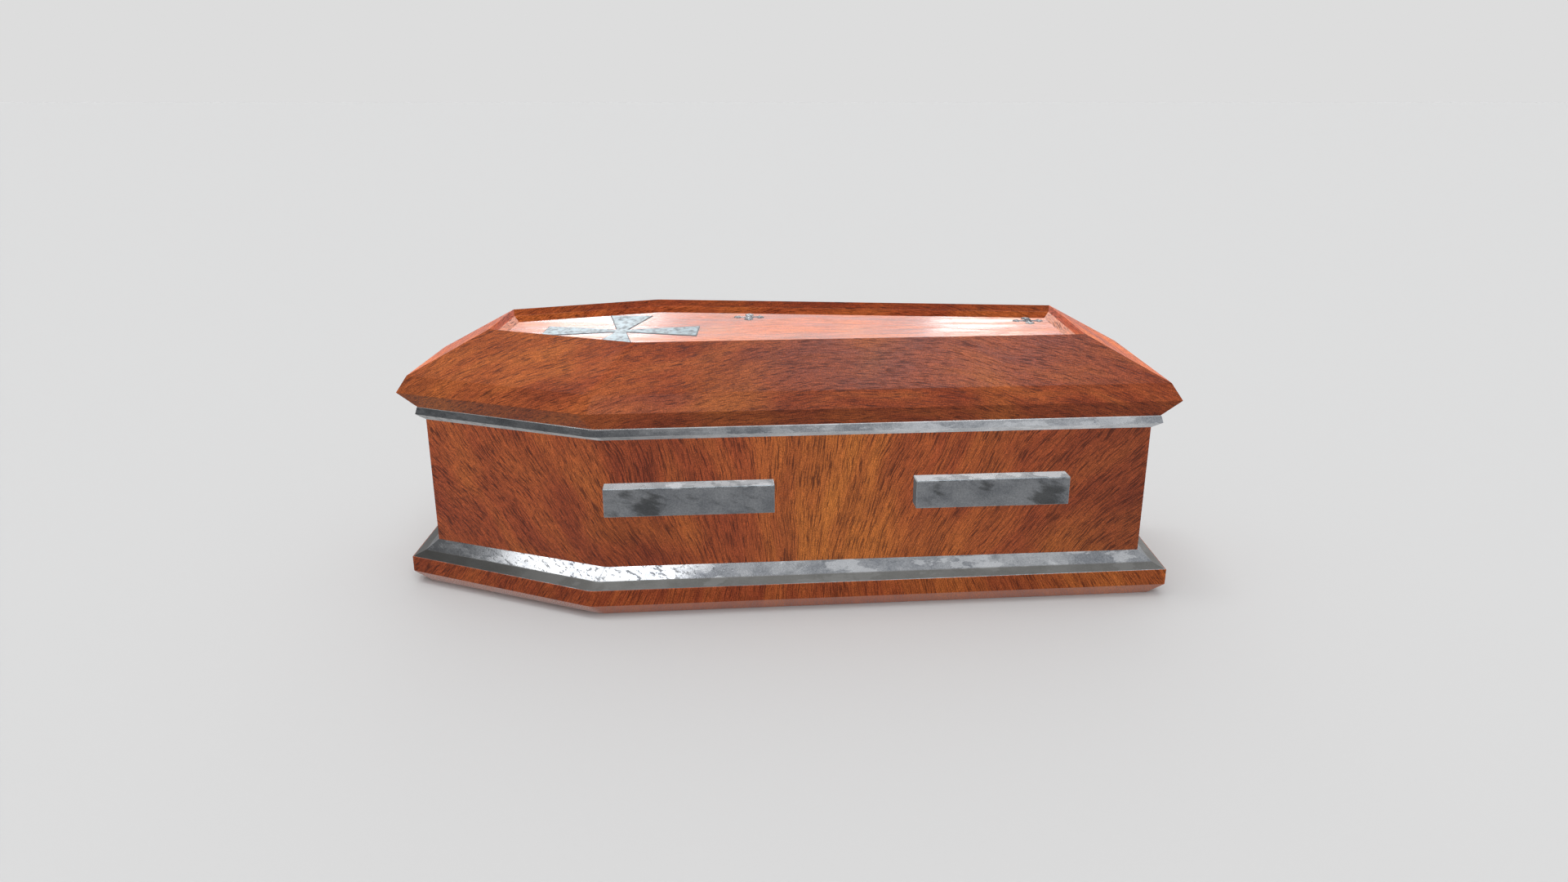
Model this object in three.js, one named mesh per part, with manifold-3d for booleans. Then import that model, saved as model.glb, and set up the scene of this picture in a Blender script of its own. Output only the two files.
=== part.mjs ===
// A six-sided wooden coffin: a hollow box on an applied plinth, metal mouldings, bar handles,
// and a lift-off hipped lid with a sunken panel that carries a cross and screw ornaments.
// Millimetres, +Z up. The head end is at -X and the foot end at +X. The origin lies under the
// middle of the base, on the ground.

import * as THREE from 'three';
import { mergeVertices } from 'three/addons/utils/BufferGeometryUtils.js';
import Module from 'manifold-3d';

const wasm = await Module();
wasm.setup();

// Plan of the box, measured outside the walls and symmetrical about the X axis
const BOX_HALF_LENGTH = 935;
const SHOULDER_X = -455;
const HEAD_HALF_WIDTH = 157;
const SHOULDER_HALF_WIDTH = 339;
const FOOT_HALF_WIDTH = 229;
const SHOULDER_BEND_RADIUS = 60;
const SHOULDER_BEND_STEPS = 4;

// Boards
const WALL_THICKNESS = 20;
const FLOOR_THICKNESS = 20;
const PANEL_THICKNESS = 18;

// Clearances: between mitred ends, and between an applied moulding and its wall
const MITRE_GAP = 0.4;
const FIT_GAP = 0.3;

// Heights above the ground
const PLINTH_TOP = 75;
const RIM_HEIGHT = 488;
const PANEL_TOP = 651;
const PANEL_UNDERSIDE = PANEL_TOP - PANEL_THICKNESS;

// Section corners of the courses that run round the coffin. A corner stands out past the end walls
// by `end` and past the side walls at the shoulder by `side`. A corner with `inset` runs parallel to
// the walls, that far inside their outer faces.
const PLINTH_SECTION = [
  { end: FIT_GAP, side: FIT_GAP, z: 0 },
  { end: 26, side: 36, z: 0 },
  { end: 66, side: 64, z: 33 },
  { end: 66, side: 64, z: PLINTH_TOP },
  { end: FIT_GAP, side: FIT_GAP, z: PLINTH_TOP },
];
const BASE_MOULDING_SECTION = [
  { end: FIT_GAP, side: FIT_GAP, z: PLINTH_TOP },
  { end: 64, side: 62, z: PLINTH_TOP },
  { end: 31, side: 38, z: 90 },
  { end: FIT_GAP, side: FIT_GAP, z: 113 },
];
const WALL_SECTION = [
  { inset: 0, z: FLOOR_THICKNESS },
  { inset: 0, z: RIM_HEIGHT },
  { inset: WALL_THICKNESS, z: RIM_HEIGHT },
  { inset: WALL_THICKNESS, z: FLOOR_THICKNESS },
];
const RIM_STRIP_SECTION = [
  { end: FIT_GAP, side: FIT_GAP, z: 452 },
  { end: 22, side: 33, z: 470 },
  { end: 16, side: 31, z: RIM_HEIGHT },
  { end: FIT_GAP, side: FIT_GAP, z: RIM_HEIGHT },
];
const LID_OPENING = { end: -192.5, side: -73 };
const LID_REBATE = { end: -176, side: -58 };
const LID_RIDGE = { end: -178, side: -53.5 };
const LID_SECTION = [
  { inset: WALL_THICKNESS, z: RIM_HEIGHT },
  { end: 14, side: 27, z: RIM_HEIGHT },
  { end: 65, side: 34, z: 528 },
  { end: 36, side: 15, z: 571 },
  { ...LID_RIDGE, z: 686 },
  { ...LID_RIDGE, z: 667 },
  { ...LID_OPENING, z: PANEL_TOP },
  { ...LID_REBATE, z: PANEL_TOP },
  { ...LID_REBATE, z: PANEL_UNDERSIDE },
  { inset: WALL_THICKNESS, z: 578 },
];
const PANEL_EDGE = { end: LID_REBATE.end - FIT_GAP, side: LID_REBATE.side - FIT_GAP };

// Bar handles: pressed metal boxes, open below for the fingers and open against the wall.
// Each starts this far along the long wall from the shoulder corner.
const HANDLE_PLACES = [
  { start: 7, length: 422 },
  { start: 786, length: 393 },
];
const HANDLE_BOTTOM = 266;
const HANDLE_HEIGHT = 73.5;
const HANDLE_DEPTH = 43.5;
const HANDLE_METAL = 4;

// Cross with arms that flare from a narrow waist
const CROSS_X = -438;
const CROSS_HALF_SPAN = 207;
const CROSS_END_HALF_WIDTH = 61;
const CROSS_WAIST_HALF_WIDTH = 16;
const CROSS_EDGE_HEIGHT = 1;
const CROSS_THICKNESS = 2.5;
const CROSS_BEVEL = 3;

// Small crosses with three-lobed tips that cover the lid screws, near the panel's long edges
const ORNAMENT_PLACES = [
  { x: -100, edgeDistance: 55 },
  { x: 686, edgeDistance: 47 },
];
const ORNAMENT_REACH = 43;
const ORNAMENT_ARM_WIDTH = 8;
const ORNAMENT_ARM_THICKNESS = 3;
const ORNAMENT_LOBE_RADIUS = 6.5;
const ORNAMENT_LOBE_THICKNESS = 4;
const ORNAMENT_LOBE_TAPER = 0.6;
const ORNAMENT_SEAT_RADIUS = 14;
const ORNAMENT_BOSS_RADIUS = 12;
const ORNAMENT_BOSS_HEIGHT = 9;
const ORNAMENT_SIDES = 12;

const wood = new THREE.MeshStandardMaterial({ color: 0x96482a, roughness: 0.35, metalness: 0 });
const metal = new THREE.MeshStandardMaterial({ color: 0x6f787d, roughness: 0.4, metalness: 1 });

const coffin = new THREE.Group();

function addMesh(name, geometry, material) {
  const mesh = new THREE.Mesh(geometry, material);
  mesh.name = name;
  coffin.add(mesh);
  return mesh;
}

// The back half of the box plan, from head corner to foot corner, with the shoulder as an arc
function boxPlan(inset = 0) {
  const head = new THREE.Vector2(-BOX_HALF_LENGTH, HEAD_HALF_WIDTH);
  const shoulder = new THREE.Vector2(SHOULDER_X, SHOULDER_HALF_WIDTH);
  const foot = new THREE.Vector2(BOX_HALF_LENGTH, FOOT_HALF_WIDTH);
  const alongHead = shoulder.clone().sub(head).normalize();
  const alongFoot = foot.clone().sub(shoulder).normalize();
  const shoulderTurn = Math.atan2(alongHead.cross(alongFoot), alongHead.dot(alongFoot));
  const tangent = SHOULDER_BEND_RADIUS * Math.tan(Math.abs(shoulderTurn) / 2);

  const inward = new THREE.Vector2(alongHead.y, -alongHead.x);
  const centre = shoulder.clone()
    .addScaledVector(alongHead, -tangent)
    .addScaledVector(inward, SHOULDER_BEND_RADIUS);
  const bend = [];
  for (let i = 0; i <= SHOULDER_BEND_STEPS; i++) {
    const outward = inward.clone().negate()
      .rotateAround(new THREE.Vector2(), shoulderTurn * i / SHOULDER_BEND_STEPS);
    bend.push(centre.clone().addScaledVector(outward, SHOULDER_BEND_RADIUS - inset));
  }

  const headX = -BOX_HALF_LENGTH + inset;
  const footX = BOX_HALF_LENGTH - inset;
  const first = bend[0];
  const last = bend[bend.length - 1];
  return [
    new THREE.Vector2(headX, first.y + (headX - first.x) * alongHead.y / alongHead.x),
    ...bend,
    new THREE.Vector2(footX, last.y + (footX - last.x) * alongFoot.y / alongFoot.x),
  ];
}

// The back half of the line that one section corner draws round the coffin
function courseLine(corner) {
  if (corner.inset !== undefined) {
    return boxPlan(corner.inset);
  }
  const stretchX = 1 + corner.end / BOX_HALF_LENGTH;
  const stretchY = 1 + corner.side / SHOULDER_HALF_WIDTH;
  return boxPlan().map((p) => new THREE.Vector2(p.x * stretchX, p.y * stretchY));
}

// The whole closed line, from head to foot along the back and home along the front
function closedLine(corner) {
  const back = courseLine(corner);
  const front = back.map((p) => new THREE.Vector2(p.x, -p.y)).reverse();
  return [...back, ...front];
}

function signedVolume(points, faces) {
  let sum = 0;
  for (const [a, b, c] of faces) {
    sum += points[a].dot(new THREE.Vector3().crossVectors(points[b], points[c])) / 6;
  }
  return sum;
}

// A closed solid through a row of like sections. `flat` is the section's shape in its own plane.
function closedLoft(sections, flat) {
  const order = flat.map((_, i) => i);
  if (THREE.ShapeUtils.isClockWise(flat)) {
    order.reverse();
  }
  const ordered = sections.map((section) => order.map((i) => section[i]));
  const cap = THREE.ShapeUtils.triangulateShape(order.map((i) => flat[i]), []);

  const count = order.length;
  const points = ordered.flat();
  const faces = [];
  for (let s = 0; s + 1 < ordered.length; s++) {
    for (let i = 0; i < count; i++) {
      const a = s * count + i;
      const b = s * count + (i + 1) % count;
      faces.push([a, b, b + count], [a, b + count, a + count]);
    }
  }
  const lastRing = (ordered.length - 1) * count;
  for (const [a, b, c] of cap) {
    faces.push([a, c, b], [lastRing + a, lastRing + b, lastRing + c]);
  }

  const outward = signedVolume(points, faces) > 0;
  const corners = faces.flatMap(([a, b, c]) => (outward ? [a, b, c] : [a, c, b]));
  const geometry = new THREE.BufferGeometry().setFromPoints(corners.map((i) => points[i]));
  geometry.computeVertexNormals();
  return geometry;
}

// A solid through flat rings that lie one above the other
function stackedLoft(rings) {
  const sections = rings.map(({ line, z }) => line.map((p) => new THREE.Vector3(p.x, p.y, z)));
  return closedLoft(sections, rings[0].line);
}

// Four lengths of one section round the coffin, mitred at the head and foot corners.
// The front and back lengths bend at the shoulder.
function addCourse(name, section, material) {
  const lines = section.map(courseLine);
  const flat = section.map((corner) => new THREE.Vector2(corner.end ?? -corner.inset, corner.z));
  const stations = lines[0].length;
  const halfGap = MITRE_GAP / 2;
  const sectionAt = (station, sign, trimX, trimY) => section.map((corner, k) => {
    const p = lines[k][station];
    return new THREE.Vector3(p.x + trimX, sign * (p.y - trimY), corner.z);
  });

  for (const [end, station] of [['head', 0], ['foot', stations - 1]]) {
    const sections = [sectionAt(station, 1, 0, halfGap), sectionAt(station, -1, 0, halfGap)];
    addMesh(`${name}_${end}`, closedLoft(sections, flat), material);
  }
  for (const [side, sign] of [['front', -1], ['back', 1]]) {
    const sections = lines[0].map((_, station) => {
      const trim = station === 0 ? halfGap : station === stations - 1 ? -halfGap : 0;
      return sectionAt(station, sign, trim, 0);
    });
    addMesh(`${name}_${side}`, closedLoft(sections, flat), material);
  }
}

function addBoard(name, edge, bottom, top) {
  const line = closedLine(edge);
  addMesh(name, stackedLoft([{ line, z: bottom }, { line, z: top }]), wood);
}

function solidOf(geometry) {
  geometry.deleteAttribute('normal');
  geometry.deleteAttribute('uv');
  const merged = mergeVertices(geometry);
  const vertProperties = new Float32Array(merged.attributes.position.array);
  const triVerts = new Uint32Array(merged.index.array);
  return new wasm.Manifold(new wasm.Mesh({ numProp: 3, vertProperties, triVerts }));
}

function geometryOf(solid) {
  const mesh = solid.getMesh();
  const indexed = new THREE.BufferGeometry();
  indexed.setAttribute('position', new THREE.BufferAttribute(mesh.vertProperties, 3));
  indexed.setIndex(new THREE.BufferAttribute(mesh.triVerts, 1));
  const geometry = indexed.toNonIndexed();
  geometry.computeVertexNormals();
  return geometry;
}

// A handle lies along its own X, stands out along Y from the wall at Y = 0, and rises from Z = 0
function handleGeometry(length) {
  const outer = new THREE.BoxGeometry(length, HANDLE_DEPTH, HANDLE_HEIGHT);
  outer.translate(0, HANDLE_DEPTH / 2, HANDLE_HEIGHT / 2);
  const hollow = new THREE.BoxGeometry(length - 2 * HANDLE_METAL, HANDLE_DEPTH, HANDLE_HEIGHT);
  hollow.translate(0, HANDLE_DEPTH / 2 - HANDLE_METAL, HANDLE_HEIGHT / 2 - HANDLE_METAL);
  return geometryOf(solidOf(outer).subtract(solidOf(hollow)));
}

function addHandles() {
  const shoulder = new THREE.Vector2(SHOULDER_X, SHOULDER_HALF_WIDTH);
  const foot = new THREE.Vector2(BOX_HALF_LENGTH, FOOT_HALF_WIDTH);
  const along = foot.clone().sub(shoulder).normalize();
  for (const [side, sign] of [['front', -1], ['back', 1]]) {
    const outward = new THREE.Vector2(-along.y, sign * along.x);
    HANDLE_PLACES.forEach(({ start, length }, i) => {
      const middle = shoulder.clone().addScaledVector(along, start + length / 2);
      const mesh = addMesh(`handle_${side}_${i + 1}`, handleGeometry(length), metal);
      mesh.position.set(
        middle.x + outward.x * FIT_GAP,
        sign * middle.y + outward.y * FIT_GAP,
        HANDLE_BOTTOM,
      );
      mesh.rotation.z = Math.atan2(outward.y, outward.x) - Math.PI / 2;
    });
  }
}

// One arm's outline points, turned by quarter turns to make the whole cross
function crossLine(inset) {
  const span = CROSS_HALF_SPAN - inset;
  const flare = (CROSS_END_HALF_WIDTH - CROSS_WAIST_HALF_WIDTH) / (CROSS_HALF_SPAN - CROSS_WAIST_HALF_WIDTH);
  const slant = Math.hypot(1, flare);
  const halfWidthAt = (reach) => (
    CROSS_WAIST_HALF_WIDTH + (reach - CROSS_WAIST_HALF_WIDTH) * flare - inset * slant
  );
  const waist = (CROSS_WAIST_HALF_WIDTH * (1 - flare) - inset * slant) / (1 - flare);
  const endHalfWidth = halfWidthAt(span);
  const line = [];
  for (let quarter = 0; quarter < 4; quarter++) {
    const angle = quarter * Math.PI / 2;
    for (const [x, y] of [[span, -endHalfWidth], [span, endHalfWidth], [waist, waist]]) {
      line.push(new THREE.Vector2(x, y).rotateAround(new THREE.Vector2(), angle));
    }
  }
  return line.map((p) => new THREE.Vector2(p.x + CROSS_X, p.y));
}

function addCross() {
  addMesh('cross', stackedLoft([
    { line: crossLine(0), z: PANEL_TOP },
    { line: crossLine(0), z: PANEL_TOP + CROSS_EDGE_HEIGHT },
    { line: crossLine(CROSS_BEVEL), z: PANEL_TOP + CROSS_THICKNESS },
  ]), metal);
}

// A round disc standing on Z = 0, narrowed towards its top
function disc(x, y, radius, thickness) {
  return new THREE.CylinderGeometry(radius * ORNAMENT_LOBE_TAPER, radius, thickness, ORNAMENT_SIDES)
    .rotateX(Math.PI / 2)
    .translate(x, y, thickness / 2);
}

// One ornament, lying on Z = 0 with its arms along X and Y
function ornamentGeometry() {
  const tip = ORNAMENT_REACH - ORNAMENT_LOBE_RADIUS;
  const pieces = [disc(0, 0, ORNAMENT_SEAT_RADIUS, ORNAMENT_LOBE_THICKNESS)];
  for (let quarter = 0; quarter < 4; quarter++) {
    const turn = quarter * Math.PI / 2;
    const arm = new THREE.BoxGeometry(tip, ORNAMENT_ARM_WIDTH, ORNAMENT_ARM_THICKNESS)
      .translate(tip / 2, 0, ORNAMENT_ARM_THICKNESS / 2);
    const lobes = [[tip, 0], [tip - ORNAMENT_LOBE_RADIUS, 1], [tip - ORNAMENT_LOBE_RADIUS, -1]]
      .map(([x, side]) => disc(
        x,
        side * ORNAMENT_LOBE_RADIUS,
        ORNAMENT_LOBE_RADIUS,
        ORNAMENT_LOBE_THICKNESS,
      ));
    pieces.push(...[arm, ...lobes].map((geometry) => geometry.rotateZ(turn)));
  }
  const boss = new THREE.SphereGeometry(ORNAMENT_BOSS_RADIUS, ORNAMENT_SIDES, ORNAMENT_SIDES / 2)
    .rotateX(Math.PI / 2)
    .scale(1, 1, ORNAMENT_BOSS_HEIGHT / (2 * ORNAMENT_BOSS_RADIUS))
    .translate(0, 0, ORNAMENT_BOSS_HEIGHT / 2);
  pieces.push(boss);
  return geometryOf(pieces.map(solidOf).reduce((whole, piece) => whole.add(piece)));
}

// The panel's half width where the long wall's line passes x
function panelHalfWidthAt(x) {
  const line = courseLine(LID_OPENING);
  const foot = line[line.length - 1];
  const shoulder = line[line.length - 2];
  return THREE.MathUtils.mapLinear(x, shoulder.x, foot.x, shoulder.y, foot.y);
}

function addOrnaments() {
  for (const [side, sign] of [['front', -1], ['back', 1]]) {
    ORNAMENT_PLACES.forEach(({ x, edgeDistance }, i) => {
      const mesh = addMesh(`lid_ornament_${side}_${i + 1}`, ornamentGeometry(), metal);
      mesh.position.set(x, sign * (panelHalfWidthAt(x) - edgeDistance), PANEL_TOP);
    });
  }
}

addBoard('floor_board', { inset: 0 }, 0, FLOOR_THICKNESS);
addCourse('wall', WALL_SECTION, wood);
addCourse('plinth', PLINTH_SECTION, wood);
addCourse('base_moulding', BASE_MOULDING_SECTION, metal);
addCourse('rim_strip', RIM_STRIP_SECTION, metal);
addHandles();
addCourse('lid_frame', LID_SECTION, wood);
addBoard('lid_panel', PANEL_EDGE, PANEL_UNDERSIDE, PANEL_TOP);
addCross();
addOrnaments();

export default coffin;
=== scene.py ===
"""Looks of a six-sided wooden coffin, built around its solids. Metres, +Z up, head end at -X."""

import math
from dataclasses import dataclass

import bmesh
import bpy
from mathutils import Matrix, Vector


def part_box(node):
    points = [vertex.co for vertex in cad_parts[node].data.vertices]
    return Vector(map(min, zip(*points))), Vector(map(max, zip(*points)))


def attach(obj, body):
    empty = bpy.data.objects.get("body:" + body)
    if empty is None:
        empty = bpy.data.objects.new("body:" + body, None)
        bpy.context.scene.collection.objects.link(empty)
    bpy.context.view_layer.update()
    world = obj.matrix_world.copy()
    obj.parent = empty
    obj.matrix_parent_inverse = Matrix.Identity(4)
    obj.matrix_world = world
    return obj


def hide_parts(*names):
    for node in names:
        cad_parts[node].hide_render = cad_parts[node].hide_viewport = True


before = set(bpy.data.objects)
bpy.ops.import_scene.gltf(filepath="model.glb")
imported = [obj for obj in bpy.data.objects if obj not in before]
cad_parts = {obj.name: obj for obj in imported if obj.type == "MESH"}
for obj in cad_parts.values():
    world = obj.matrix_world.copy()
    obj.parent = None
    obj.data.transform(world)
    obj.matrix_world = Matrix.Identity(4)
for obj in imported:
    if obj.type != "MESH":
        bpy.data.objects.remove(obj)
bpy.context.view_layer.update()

# Plan of the box outside its walls, symmetrical about the X axis
BOX_HALF_LENGTH = 0.935
SHOULDER_X = -0.455
HEAD_HALF_WIDTH = 0.157
SHOULDER_HALF_WIDTH = 0.339
FOOT_HALF_WIDTH = 0.229
SHOULDER_BEND_RADIUS = 0.060
SHOULDER_BEND_STEPS = 12

WALL_THICKNESS = 0.020
FLOOR_THICKNESS = 0.020
PANEL_THICKNESS = 0.018
MITRE_GAP = 0.0004
FIT_GAP = 0.0003

# Heights above the ground
PLINTH_TOP = 0.075
RIM_HEIGHT = 0.488
EAVE_HEIGHT = 0.528
EAVE_FADE = 0.0005
PANEL_TOP = 0.651

# Radii that soften the edges
WOOD_ARRIS = 0.0012
METAL_ARRIS = 0.0010
ARRIS_STEPS = 3
SHARP_ANGLE = math.radians(28)

# Bar handles along the long walls, measured from the shoulder corner
HANDLE_PLACES = ((0.007, 0.422), (0.786, 0.393))
HANDLE_BOTTOM = 0.266
HANDLE_HEIGHT = 0.0735
HANDLE_DEPTH = 0.0435
HANDLE_METAL = 0.004
HANDLE_ARRIS = 0.0012

# Dark smudges on the handles: X, Z and radius
HANDLE_SMUDGES = (
    (-0.342, 0.290, 0.070),
    (-0.388, 0.330, 0.036),
    (0.382, 0.317, 0.034),
    (0.500, 0.325, 0.040),
    (0.668, 0.290, 0.070),
)

# Cross with arms that flare from a narrow waist
CROSS_X = -0.438
CROSS_HALF_SPAN = 0.207
CROSS_END_HALF_WIDTH = 0.061
CROSS_WAIST_HALF_WIDTH = 0.016
CROSS_THICKNESS = 0.0025
CROSS_EDGE_SHARE = 0.4
CROSS_BEVEL = 0.003
CROSS_BEVEL_STEPS = 4

# Small crosses with three-lobed tips that cover the lid screws
ORNAMENT_REACH = 0.043
ORNAMENT_ARM_RADIUS = 0.0032
ORNAMENT_LOBE_RADIUS = 0.0065
ORNAMENT_LOBE_HEIGHT = 0.0042
ORNAMENT_SEAT_RADIUS = 0.014
ORNAMENT_SEAT_HEIGHT = 0.0042
ORNAMENT_BOSS_RADIUS = 0.010
ORNAMENT_BOSS_HEIGHT = 0.009
ORNAMENT_VOXEL = 0.0007
ORNAMENT_SMOOTHING = 0.5
ORNAMENT_SMOOTHING_ROUNDS = 3
ORNAMENTS_ON_A_SIDE = 2
BALL_SEGMENTS = 32
ROD_SEGMENTS = 24

# Camera at the photograph's viewing angle
CAMERA_PLACE = Vector((-0.0033, -2.8197, 1.2572))
CAMERA_PITCH = math.radians(-18.008)
CAMERA_YAW = math.radians(0.062)
CAMERA_SENSOR = 36.0
CAMERA_LENS = 24.444

# Places of materials in the lists of a course, a handle and the cross
PLAIN, WORN_AND_HIGHLIT, COVE = range(3)
HANDLE_FRONT, HANDLE_EDGE, HANDLE_TOP, HANDLE_END = range(4)
CROSS_FACE, CROSS_EDGE = range(2)

# Stage
BACKDROP = (0.723, 0.723, 0.723, 1.0)
FLOOR_HALF_SIZE = 200.0
FLOOR_COLOUR = (0.495, 0.494, 0.492, 1.0)


@dataclass
class Corner:
    """A corner of a section that runs round the coffin.

    It stands out past the end walls by `end` and past the side walls at the shoulder by `side`, or it
    runs parallel to the walls, `inset` inside their outer faces. `soft` is the radius of its edge, which
    is pale where `worn_and_highlit` says so, as wear and as a painted highlight. `cove` marks the start
    of the lid's inner slope.
    """

    z: float
    end: float = 0.0
    side: float = 0.0
    inset: float = None
    soft: float = 0.0
    worn_and_highlit: bool = False
    cove: bool = False


PLINTH = [
    Corner(0.0, FIT_GAP, FIT_GAP),
    Corner(0.0, 0.026, 0.036, soft=WOOD_ARRIS),
    Corner(0.033, 0.066, 0.064, soft=WOOD_ARRIS),
    Corner(PLINTH_TOP, 0.066, 0.064, soft=WOOD_ARRIS, worn_and_highlit=True),
    Corner(PLINTH_TOP, FIT_GAP, FIT_GAP),
]
BASE_MOULDING = [
    Corner(PLINTH_TOP, FIT_GAP, FIT_GAP),
    Corner(PLINTH_TOP, 0.064, 0.062, soft=METAL_ARRIS, worn_and_highlit=True),
    Corner(0.090, 0.031, 0.038, soft=METAL_ARRIS),
    Corner(0.113, FIT_GAP, FIT_GAP),
]
WALL = [
    Corner(FLOOR_THICKNESS, inset=0.0),
    Corner(RIM_HEIGHT, inset=0.0),
    Corner(RIM_HEIGHT, inset=WALL_THICKNESS),
    Corner(FLOOR_THICKNESS, inset=WALL_THICKNESS),
]
RIM_STRIP = [
    Corner(0.452, FIT_GAP, FIT_GAP),
    Corner(0.470, 0.022, 0.033, soft=METAL_ARRIS),
    Corner(RIM_HEIGHT, 0.016, 0.031, soft=METAL_ARRIS),
    Corner(RIM_HEIGHT, FIT_GAP, FIT_GAP),
]
LID_FRAME = [
    Corner(RIM_HEIGHT, inset=WALL_THICKNESS),
    Corner(RIM_HEIGHT, 0.014, 0.027, soft=WOOD_ARRIS),
    Corner(EAVE_HEIGHT, 0.065, 0.034, soft=WOOD_ARRIS),
    Corner(0.571, 0.036, 0.015, soft=WOOD_ARRIS),
    Corner(0.686, -0.178, -0.0535, soft=WOOD_ARRIS),
    Corner(0.667, -0.178, -0.0535, soft=WOOD_ARRIS, cove=True),
    Corner(PANEL_TOP, -0.1925, -0.073),
    Corner(PANEL_TOP, -0.176, -0.058),
    Corner(PANEL_TOP - PANEL_THICKNESS, -0.176, -0.058),
    Corner(0.578, inset=WALL_THICKNESS),
]


def srgb(red, green, blue):
    """A colour from display values of 0 to 255."""
    def linear(value):
        share = value / 255
        return share / 12.92 if share <= 0.04045 else ((share + 0.055) / 1.055) ** 2.4
    return (linear(red), linear(green), linear(blue), 1.0)


class Material:
    """A material under construction, whose node tree is built up from expressions."""

    def __init__(self, name):
        self.made = bpy.data.materials.new(name)
        self.made.use_nodes = True
        self.tree = self.made.node_tree
        self.shader = self.tree.nodes["Principled BSDF"]
        self.place = self.add("ShaderNodeTexCoord", {}, output="Object")
        axes = self.tree.nodes.new("ShaderNodeSeparateXYZ")
        self.tree.links.new(self.place, axes.inputs[0])
        self.x, self.y, self.z = axes.outputs

    def add(self, kind, inputs, output=0, **settings):
        """A new node's output. An input is a socket to link or a plain value."""
        node = self.tree.nodes.new(kind)
        for key, value in settings.items():
            setattr(node, key, value)
        for key, value in inputs.items():
            self.put(node.inputs[key], value)
        return node.outputs[output]

    def put(self, socket, value):
        if isinstance(value, bpy.types.NodeSocket):
            self.tree.links.new(value, socket)
        else:
            socket.default_value = value

    def math(self, operation, a, b=0.0):
        return self.add("ShaderNodeMath", {0: a, 1: b}, operation=operation)

    def scaled(self, place, scale):
        return self.add("ShaderNodeVectorMath", {0: place, 1: scale}, operation="MULTIPLY")

    def vector(self, x, y, z):
        return self.add("ShaderNodeCombineXYZ", {0: x, 1: y, 2: z})

    def noise(self, place, scale, detail=2.0, roughness=0.5):
        """Cloudy noise around 0.5, with `scale` blotches to the metre along each axis of `place`."""
        inputs = {"Vector": self.scaled(place, scale), "Scale": 1.0, "Detail": detail}
        return self.add("ShaderNodeTexNoise", {**inputs, "Roughness": roughness})

    def step(self, value, low, high, bottom=0.0, top=1.0):
        """A smooth step from `bottom` to `top` while `value` goes from `low` to `high`."""
        inputs = {0: value, 1: low, 2: high, 3: bottom, 4: top}
        return self.add("ShaderNodeMapRange", inputs, interpolation_type="SMOOTHSTEP")

    def mix(self, amount, a, b, blend="MIX"):
        inputs = {0: amount, 6: a, 7: b}
        return self.add("ShaderNodeMix", inputs, output=2, data_type="RGBA", blend_type=blend)

    def ramp(self, value, stops):
        """A colour that passes through `stops`, each a position and a colour."""
        node = self.tree.nodes.new("ShaderNodeValToRGB")
        elements = node.color_ramp.elements
        while len(elements) < len(stops):
            elements.new(0.5)
        for element, (position, colour) in zip(elements, stops):
            element.position = position
            element.color = colour
        self.tree.links.new(value, node.inputs[0])
        return node.outputs[0]

    def dim(self, colour, amount):
        """The colour times an amount, which is a socket or a plain number and may be above 1."""
        if isinstance(amount, bpy.types.NodeSocket):
            factor = self.add("ShaderNodeCombineColor", {0: amount, 1: amount, 2: amount})
        else:
            factor = (amount, amount, amount, 1.0)
        return self.mix(1.0, colour, factor, "MULTIPLY")

    def hypotenuse(self, a, b):
        squares = self.math("ADD", self.math("MULTIPLY", a, a), self.math("MULTIPLY", b, b))
        return self.math("SQRT", squares)

    def bump(self, height, strength, distance):
        inputs = {"Strength": strength, "Distance": distance, "Height": height}
        self.put(self.shader.inputs["Normal"], self.add("ShaderNodeBump", inputs))


# Colours of the wood, its plain tones by the strength of its figure
WOOD_TONES = ((0.28, srgb(133, 58, 33)), (0.50, srgb(150, 70, 37)), (0.74, srgb(164, 84, 41)))
WOOD_GOLD = srgb(186, 108, 46)
WOOD_PORE = srgb(56, 16, 6)
# Pale wood: painted glare on the lid's end coves, and wear with a painted highlight on the plinth's top
# edge
WOOD_PALE = srgb(222, 140, 104)
# Painted reflection: the pale pink that lightens the plinth's bottom bevel
WOOD_REFLECTION = srgb(240, 172, 150)

# How much closer a ring's pores lie along it
RING_CROWDING = 2.0

# Patterns of the wood, in blotches to the metre: across the grain, along it and into the board
FIGURE_SCALE = (26.0, 3.4, 4.0)
FIBRE_SCALE = (740.0, 26.0, 150.0)
PORE_SCALE = (680.0, 19.0, 90.0)

# Patterns that don't follow the grain: blotches to the metre along X, Y and Z
DRIFT_SCALE = (3.0, 3.0, 3.0)
RIPPLE_SCALE = (26.0, 26.0, 26.0)
CLOUD_SCALE = (3.4, 3.4, 3.4)
SPECKLE_SCALE = (420.0, 420.0, 420.0)

# How far the grain wanders across the board, in metres
DRIFT_REACH = 0.06
RIPPLE_REACH = 0.004

# Noise values between which a pattern fades from one end to the other
WIDE_FADE = (0.25, 0.75)
FADE = (0.3, 0.7)
NARROW_FADE = (0.35, 0.65)
CLOUD_FADE = (0.48, 0.72)
PORE_FADE = (0.54, 0.60)

# Strengths of the patterns
CLOUD_GOLD = 0.35
GOLD_STREAKS = (0.65, 1.15)
FIBRE_LIGHT = (0.72, 1.32)
SPECKLE_LIGHT = (0.65, 1.35)
PORE_CROWDING = 0.10
PORE_DARKNESS = 0.72
PORE_ROUGHNESS = 0.12
# Painted reflection: how pale the plinth's bottom bevel turns
PAINTED_REFLECTION_AMOUNT = 0.3
# Painted shade: how dark the lid's wood turns below the eave
PAINTED_SHADE_LEVEL = 0.81
FIBRE_RELIEF = 0.35
WOOD_BUMP_STRENGTH = 0.10
WOOD_BUMP_HEIGHT = 0.0006


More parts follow.
